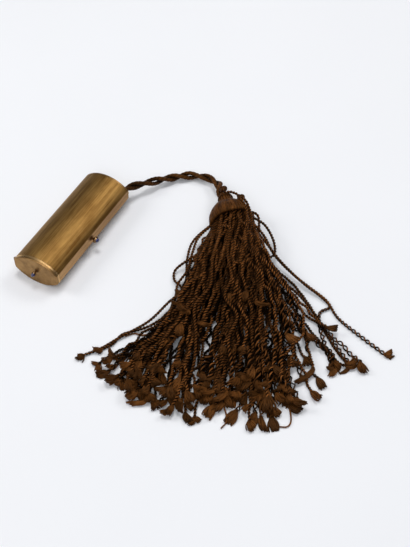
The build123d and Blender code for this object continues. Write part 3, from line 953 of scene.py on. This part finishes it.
strands, rng = makeStrands(skirt)
for points, opened in strays.values():
    look = {"opened": opened, "tint": rng.uniform(0.3, 0.7), "phase": rng.uniform(*anyPhase)}
    strands.append({"line": softLine(points, skirt["lineStep"]), **look})
shadePile = Pile()
for strand in strands:
    shadePile.lay(strand["line"][:, :2], strand["line"][:, 2], strandRadius)
for strand in strands:  # painted shade: a strand that lies in a hollow between others is darker there
    sunk = shadePile.around(strand["line"][:, :2]) - strand["line"][:, 2] - skirt["hollow"][0]
    strand["shade"] = np.exp(-np.maximum(sunk, 0) / skirt["hollow"][1])
print("strand lines made:", len(strands))

# six pieces across the fan, and each stands for the CAD sector that it lies in
fanCentre, wellDown = (50, 60), 60  # near where the fan's lines meet, and a point far down each strand


def fanAngle(strand):
    x, y = strand["line"][wellDown, :2] - fanCentre
    return math.atan2(y, x)


strands.sort(key=fanAngle)
sectors = [
    "tassel_skirt_left", "tassel_skirt_left", "tassel_skirt_mid_left", "tassel_skirt_mid_left",
    "tassel_skirt_mid_right", "tassel_skirt_right",
]
groups = np.array_split(np.arange(len(strands)), len(sectors))
for number, (group, sector) in enumerate(zip(groups, sectors), 1):
    piece = growStrands(f"skirtStrands{number}", [strands[k] for k in group], skirt)
    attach(piece, "case")
    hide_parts(sector)
    print(piece.name, len(piece.data.polygons), "faces")

tufts = {
    "length": (3.8, 6.2), "locks": (20, 29), "fan": 0.12, "curl": 1.5, "sides": 5, "rings": 8,
    "doubled": 0.3, "large": 0.14, "largeSize": 1.25,
    # half a lock's width, from root to tip
    "profile": ([0, 0.12, 0.42, 0.80, 1], [0.18, 0.26, 0.35, 0.35, 0.22]),
}


class SilkParts:
    # gathers pieces of floss with their lengthwise, round and shade values

    def __init__(self):
        self.parts, self.values = [], {"along": [], "ringX": [], "ringY": [], "tint": [], "crest": []}

    def add(self, rings, tintValue, crest, grain=1.5):
        count, sides = rings.shape[:2]
        self.parts.append(ringMesh(rings))
        run = np.concatenate([[0], np.cumsum(np.linalg.norm(np.diff(rings.mean(1), axis=0), axis=1))])
        around = np.linspace(0, 2 * np.pi, sides, endpoint=False)
        self.values["along"].append(np.repeat(run, sides))
        self.values["ringX"].append(np.tile(np.cos(around) * grain, count))
        self.values["ringY"].append(np.tile(np.sin(around) * grain, count))
        self.values["tint"].append(np.full(count * sides, tintValue))
        self.values["crest"].append(np.broadcast_to(crest, (count, sides)).ravel())

    def addTube(self, line, sides, radius, tintValue, crest=0.8):
        across, up = carriedFrames(line)
        turn = np.linspace(0, 2 * np.pi, sides, endpoint=False)
        radius = np.broadcast_to(radius, (len(line), sides))
        rings = (
            line[:, None, :] + across[:, None, :] * (np.cos(turn) * radius)[..., None]
            + up[:, None, :] * (np.sin(turn) * radius)[..., None]
        )
        self.add(rings, tintValue, crest)

    def piece(self, name, material, body, slot, *stoodFor):
        points, faces = joined(self.parts)
        made = makePiece(name, points, faces, material)
        addValues(made, **{key: np.concatenate(chunks) for key, chunks in self.values.items()})
        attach(made, body)
        if stoodFor:
            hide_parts(*stoodFor)
        print(name, len(made.data.polygons), "faces")
        return made


def addTuft(parts, root, direction, rng, size=1.0):
    # a curly brush of floss: soft locks that fan out from one root and end bluntly
    side = unit(np.cross(direction, (0, 0, 1.0)))
    up = np.cross(side, direction)
    length = rng.uniform(*tufts["length"]) * size
    curl = rng.normal(0, tufts["curl"], 2) * size
    tintValue = rng.uniform(0.35, 1.05)
    v = np.linspace(0, 1, tufts["rings"])
    ridges = np.where(np.arange(tufts["sides"]) % 2, 1.0, -1.0)
    for _ in range(rng.integers(*tufts["locks"])):
        reach = length * rng.uniform(0.88, 1.03)
        lean, lift = rng.uniform(-1.9, 1.9, 2) * (tufts["fan"], 0.6 * tufts["fan"]) * reach
        bend = curl + rng.normal(0, 0.8, 2) * size
        line = root + np.outer(v * reach, direction)
        swell = np.sin(np.pi * v) * 0.7 * lean - v**4 * 0.4 * lean  # the locks belly out, then draw in
        aside, above = v * lean + swell + v**2 * bend[0], v * lift + v**2 * 0.5 * bend[1]
        line += np.outer(aside, side) + np.outer(above, up)
        radius = np.interp(v, *tufts["profile"]) * size * rng.uniform(0.8, 1.15)
        line[:, 2] = np.maximum(line[:, 2], radius * 0.98)
        roughened = 0.10 * ridges + 0.05 * rng.normal(0, 1, tufts["sides"])
        uneven = 1 + roughened * np.minimum(1, 2 * v)[:, None]
        # painted shade between the ridges, and darker towards the root and the tip
        crest = (0.62 + 0.22 * ridges) * (0.55 + 0.45 * np.sin(np.pi * (0.2 + 0.65 * v)))[:, None]
        shade = tintValue * rng.uniform(0.8, 1.1)
        parts.addTube(line, tufts["sides"], radius[:, None] * uneven, shade, crest)


tuftParts = [SilkParts() for _ in range(3)]
for strand in strands:
    line = strand["line"]
    heading = unit(line[-1] - line[-5])
    heading[2] = np.clip(heading[2], -0.25, 0.05)
    angle = rng.normal(0, 0.38)
    heading = unit(np.array([
        heading[0] * math.cos(angle) - heading[1] * math.sin(angle),
        heading[0] * math.sin(angle) + heading[1] * math.cos(angle), heading[2],
    ]))
    parts = tuftParts[int(np.clip((line[-1][0] - 60) / 30, 0, 2))]
    root = line[-1] - heading * 0.9
    if rng.random() < tufts["doubled"]:  # the two plies end in tufts of their own
        for lean in (-0.5, 0.5):
            leaning = unit(heading + unit(np.cross(heading, (0, 0, 1.0))) * lean)
            addTuft(parts, root, leaning, rng, 0.75)
    else:
        addTuft(parts, root, heading, rng, tufts["largeSize"] if rng.random() < tufts["large"] else 1.0)
for number, parts in enumerate(tuftParts, 1):
    parts.piece(f"cutEnds{number}", flossSilk, "case", "silk_floss")

curls = {
    "bottomCurl": [
        (97, -40, 2.4), (101, -47, 1.2), (103.6, -50, 0.7), (105.2, -53, 0.6), (104.6, -56.5, 0.5),
    ],
    "sideCurl": [
        (121, -31, 1.6), (125.5, -37, 0.8), (127.6, -41, 0.6), (127.2, -43.6, 0.5), (124.6, -45, 0.5),
    ],
    "leftEye": [
        (53.4, 44.4, 10.0), (51.4, 43.4, 9.0), (49.9, 41.8, 8.4), (50.0, 40.0, 7.8), (51.6, 38.8, 7.4),
    ],
    "leftHair": [(61, -27, 2.0), (55, -32, 0.7), (51, -33, 0.5), (48.5, -36, 0.4)],
}
curlParts = SilkParts()
for points in curls.values():
    line = softLine(points, 0.5)
    curlParts.addTube(line, 8, np.linspace(0.42, 0.3, len(line))[:, None], 0.6)
curlParts.piece("looseCurls", flossSilk, "case", "silk_floss")
print("cut ends made")

headLook = {
    "capRings": 40, "capSides": 240, "folds": 11, "foldDepth": 0.26, "fibreDepth": 0.06,
    "flossCount": 420, "flossPoints": 22, "flossRadius": (0.13, 0.24),
    "hemStart": 0.88, "hemTurn": 2.2,  # where the combed floss goes round the hem, and how far
    "rollRadius": 0.95, "rollLift": 0.55, "thickness": 1.9,
    "neckSides": 180, "neckRings": 22, "pleats": 17, "pleatDepth": 0.36,
}


def headPoint(along, across, upward):
    # a point by its distance down the head's axis and out from it
    return (
        neckEnd + np.multiply.outer(along, head["axis"]) + np.multiply.outer(across, headSide)
        + np.multiply.outer(upward, headUp)
    )


def headPointEach(along, across, upward):
    # the same for a line of points, one distance of each kind for every point
    return neckEnd + np.outer(along, head["axis"]) + np.outer(across, headSide) + np.outer(upward, headUp)


def raggedFibres(turn, rng, waves):
    # fine combed ridges round a ring: many sines with random strengths
    total = np.zeros_like(turn)
    for wave in waves:
        total += rng.normal(0, 1) * np.sin(wave * turn + rng.uniform(*anyPhase))
    return total / math.sqrt(len(waves))


def capForm(turn, v):
    # the cap's outside, as distances down its axis, across and up; its hem hangs lowest on the cap's left
    bulge = np.sin(v * np.pi / 2) ** 0.58
    hem = 0.93 + 0.13 * np.cos(turn) - 0.02 * np.sin(turn) + 0.012 * np.sin(5 * turn)
    halfWide = head["neckRadius"] - 0.2 + (head["capHalfWidth"] - head["neckRadius"]) * bulge
    halfHigh = head["neckRadius"] - 0.2 + (head["capHalfHeight"] - head["neckRadius"]) * bulge
    return head["capLength"] * v * hem, halfWide, halfHigh


def addCombedFloss(parts, look, rng):
    # fine bundles of floss laid from the neck over the cap and round its hem
    t = np.linspace(0, 1, look["flossPoints"])
    hemStart = look["hemStart"]
    v = np.minimum(t / hemStart, 1.0)
    roll = np.maximum(t - hemStart, 0) / (1 - hemStart) * look["hemTurn"]
    for _ in range(look["flossCount"]):
        sway = rng.normal(0, 0.10)
        turn = rng.uniform(0, 2 * np.pi) + sway * np.sin(2.6 * v + rng.uniform(*anyPhase))
        turn = turn + rng.normal(0, 0.05) * v
        along, halfWide, halfHigh = capForm(turn, v)
        lift = rng.uniform(-0.05, 0.18) + look["rollRadius"] * (np.cos(roll) - 1)
        lift = lift + look["rollLift"] * np.sin(roll)
        down = along + look["rollRadius"] * np.sin(roll)
        line = headPointEach(down, (halfWide + lift) * np.cos(turn), (halfHigh + lift) * np.sin(turn))
        radius = rng.uniform(*look["flossRadius"]) * np.interp(t, [0, 0.2, 1], [0.7, 1, 1])
        parts.addTube(line, 5, radius[:, None], rng.uniform(0.12, 0.62), rng.uniform(0.5, 1.0))


def buildCap(look, rng):
    turn = np.linspace(0, 2 * np.pi, look["capSides"], endpoint=False)
    v = np.linspace(0, 1, look["capRings"])[:, None]
    wander = turn[None, :] + 0.10 * np.sin(3 * v + 2 * turn[None, :])
    folds = np.cos(look["folds"] * wander + 0.8 * np.sin(2 * turn))
    fibres = raggedFibres(wander, rng, range(38, 96, 4))
    relief = look["foldDepth"] * folds * (1.05 - v) + look["fibreDepth"] * fibres * (0.6 + 0.4 * v)
    along, halfWide, halfHigh = capForm(turn, v)
    outAcross = (halfWide + relief) * np.cos(turn)
    outUp = (halfHigh + relief) * np.sin(turn)
    rings = [headPoint(along, outAcross, outUp)]
    # painted shade in the valleys of the folds and fibres
    crest = [np.clip(0.70 + 0.18 * folds * (1 - 0.6 * v) + 0.16 * fibres, 0, 1)]
    # the rolled hem with a painted highlight, then the inside with painted shade
    lastAcross, lastUp, lastAlong = outAcross[-1], outUp[-1], along[-1]
    outward = np.stack([np.cos(turn), np.sin(turn)])
    for bend in np.linspace(0.15, 1.0, 9):
        angle = bend * math.pi * 1.15
        out = look["rollRadius"] * (math.cos(angle) - 1) + look["rollLift"] * math.sin(angle)
        down = look["rollRadius"] * math.sin(angle)
        ring = headPoint(lastAlong + down, lastAcross + outward[0] * out, lastUp + outward[1] * out)
        rings.append(ring[None])
        crest.append(np.clip(0.98 + 0.12 * fibres[-1:] - 0.5 * max(0.0, bend - 0.5), 0, 1))
    throat = head["neckRadius"] - look["thickness"]
    for depth in np.linspace(0.8, 0.12, 8):
        opening = math.sin(depth * math.pi / 2)
        wide = throat + (head["capHalfWidth"] - head["neckRadius"]) * opening
        high = throat + (head["capHalfHeight"] - head["neckRadius"]) * opening
        rings.append(headPoint(lastAlong * depth, wide * np.cos(turn), high * np.sin(turn))[None])
        crest.append(np.full((1, len(turn)), 0.15))
    parts = SilkParts()
    rings = np.concatenate(rings)
    parts.add(rings, 0.2, np.concatenate(crest), grain=8.0)
    addCombedFloss(parts, look, rng)
    return parts.piece("flossCap", flossSilk, "case", "silk_floss", "tassel_cap", "tassel_core")


def buildNeck(look, rng):
    parts = SilkParts()
    turn = np.linspace(0, 2 * np.pi, look["neckSides"], endpoint=False)
    v = np.linspace(0, 1, look["neckRings"])[:, None]
    along = (v - 1.0) * (head["neckLength"] + 0.5) + 0.9
    body = np.interp(v, [0, 0.06, 0.16, 0.5, 1], [1.6, 2.5, 3.05, 3.2, 3.55])
    pleats = np.abs(np.sin(look["pleats"] * (turn + 0.05 * np.sin(5 * v)) / 2 + 0.5 * np.sin(3 * turn)))
    fine = raggedFibres(np.broadcast_to(turn, (len(v), len(turn))), rng, range(40, 88, 6))
    radius = body + look["pleatDepth"] * (pleats - 0.7) * smoothStep(v * 5) + 0.05 * fine
    rings = headPoint(along, radius * np.cos(turn), radius * np.sin(turn))
    # painted shade in the troughs of the pleats
    parts.add(rings, 0.34, np.clip(0.25 + 0.75 * pleats + 0.1 * fine, 0, 1), grain=5.0)
    # thin thread wound round the neck's top
    for lap, at in enumerate((-4.0, -3.55, -3.1)):
        t = np.linspace(0, 2 * np.pi, 60)
        wobble = 0.12 * np.sin(3 * t + lap)
        line = headPoint(at + wobble, (3.15 + 0.12 * lap) * np.cos(t), (3.15 + 0.12 * lap) * np.sin(t))
        parts.addTube(line, 8, 0.26, 0.25)
    return parts.piece("gatheredNeck", flossSilk, "case", "silk_floss", "tassel_neck")


def knotLine(centre, size, turnBy, count=90):
    # a small overhand knot: a closed trefoil line
    t = np.linspace(0, 2 * np.pi, count)
    x = np.sin(t + turnBy) + 2 * np.sin(2 * (t + turnBy))
    y = np.cos(t + turnBy) - 2 * np.cos(2 * (t + turnBy))
    z = -np.sin(3 * (t + turnBy))
    return centre + size / 3 * np.stack([x, y, 1.2 * z], 1)


def buildKnot(name, node, size, radius, turnBy, nudge=(0, 0, 0)):
    low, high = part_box(node)
    centre = np.array((low + high) / 2) / mm + nudge
    line = knotLine(centre, size, turnBy)
    points, faces = tubeMesh(line, 14, radius, closed=True)
    made = makePiece(name, points, faces, strandSilk)
    run = np.repeat(np.arange(len(line) - 1) * 0.25, 14)
    around = np.tile(np.linspace(0, 2 * np.pi, 14, endpoint=False), len(line) - 1)
    twist = around + run * 2.2
    # painted shade in ply creases that the plain tube does not have
    crest = 0.62 + 0.38 * np.abs(np.cos(twist * 1.5))
    tint = np.full(len(run), 0.4)
    addValues(made, along=run, ringX=np.cos(twist), ringY=np.sin(twist), tint=tint, crest=crest)
    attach(made, "case")
    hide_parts(node)
    return made


headRandom = np.random.default_rng(12)
capPiece = buildCap(headLook, headRandom)
neckPiece = buildNeck(headLook, headRandom)
topKnot = buildKnot("topKnot", "tassel_top_knot", 1.25, 0.72, 0.4, nudge=(-1.3, -0.7, -0.3))
sideKnot = buildKnot("sideKnot", "tassel_side_knot", 1.35, 0.78, 1.3)

headLoops = {
    # small strands looping about the head, from the knots and from under the hem
    "rightEye": [
        (65.5, 46.5, 8.5), (67.5, 47.8, 7.6), (69.6, 47.6, 6.6), (71.4, 45.0, 5.8), (73.4, 41.0, 5.2),
        (76.0, 34.0, 5.0), (80, 25, 5.5),
    ],
    "rightEyeInner": [
        (65.0, 46.0, 9.0), (67.6, 46.0, 8.4), (69.2, 43.4, 8.0), (71.4, 39.4, 7.6), (74.0, 32.0, 7.4),
        (78, 22, 7.0),
    ],
    "knotTail": [
        (60.0, 49.2, 13.0), (62.8, 48.0, 13.2), (65.2, 46.2, 12.2), (67.4, 44.0, 11.2),
        (69.4, 41.0, 10.6), (71.4, 36.0, 10.2), (73, 28, 9.4), (79, 16, 8.6),
    ],
    "knotTailTwo": [
        (59.8, 48.0, 12.8), (62.2, 46.6, 13.6), (64.4, 44.6, 13.2), (66.4, 42.0, 12.6),
        (68.2, 38.4, 12.2), (70.8, 31.0, 11.6), (74, 20, 10.4),
    ],
    "hemLoopOne": [
        (58.6, 41.0, 10.6), (60.6, 37.4, 12.4), (62.2, 33.4, 13.4), (64.0, 29.0, 12.8),
        (65.0, 24.0, 12.0), (69, 12, 11.0),
    ],
    "hemLoopTwo": [
        (62.0, 42.4, 10.4), (63.6, 39.0, 12.6), (66.0, 35.6, 13.6), (67.6, 31.0, 12.8),
        (69.4, 23.0, 11.6), (73, 10, 10.4),
    ],
    "hemLoopThree": [
        (56.6, 38.4, 9.6), (57.6, 34.0, 11.8), (59.4, 30.0, 12.4), (61.6, 24.0, 11.8), (64, 14, 10.8),
    ],
    "hemLoopFour": [
        (60.0, 40.0, 10.6), (61.4, 35.8, 13.0), (60.8, 31.6, 13.6), (63.0, 27.6, 12.6),
        (62.6, 22.0, 12.2), (65, 10, 11.2),
    ],
    "hemLoopFive": [
        (65.2, 43.4, 9.6), (67.6, 40.2, 12.2), (69.8, 37.4, 12.8), (70.4, 33.0, 12.0),
        (73.0, 27.0, 11.0), (77, 14, 9.4),
    ],
    "archRight": [
        (66.0, 37.0, 11.0), (67.4, 35.0, 13.4), (70.2, 33.8, 13.8), (72.2, 31.0, 12.2),
        (72.6, 26.0, 10.6), (76, 15, 9.2),
    ],
    "archMiddle": [
        (60.6, 30.0, 11.4), (62.0, 28.6, 14.0), (64.6, 28.6, 14.4), (66.0, 25.0, 13.0),
        (66.8, 19.0, 11.8), (70, 6, 10.6),
    ],
    "neckThread": [(50.6, 49.0, 11.0), (53.2, 50.6, 12.0), (56.6, 50.6, 12.4), (59.2, 49.2, 12.8)],
}
loopStrands = [
    {"line": softLine(points, 0.6), "opened": 0.0, "tint": 0.6, "phase": 0.7 * k, "shade": np.ones(2)}
    for k, points in enumerate(headLoops.values())
]
loopPiece = growStrands("headLoops", loopStrands, {**skirt, "plyRadius": 0.35, "plyOffset": 0.34})
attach(loopPiece, "case")
print("tassel head made")

low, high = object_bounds()
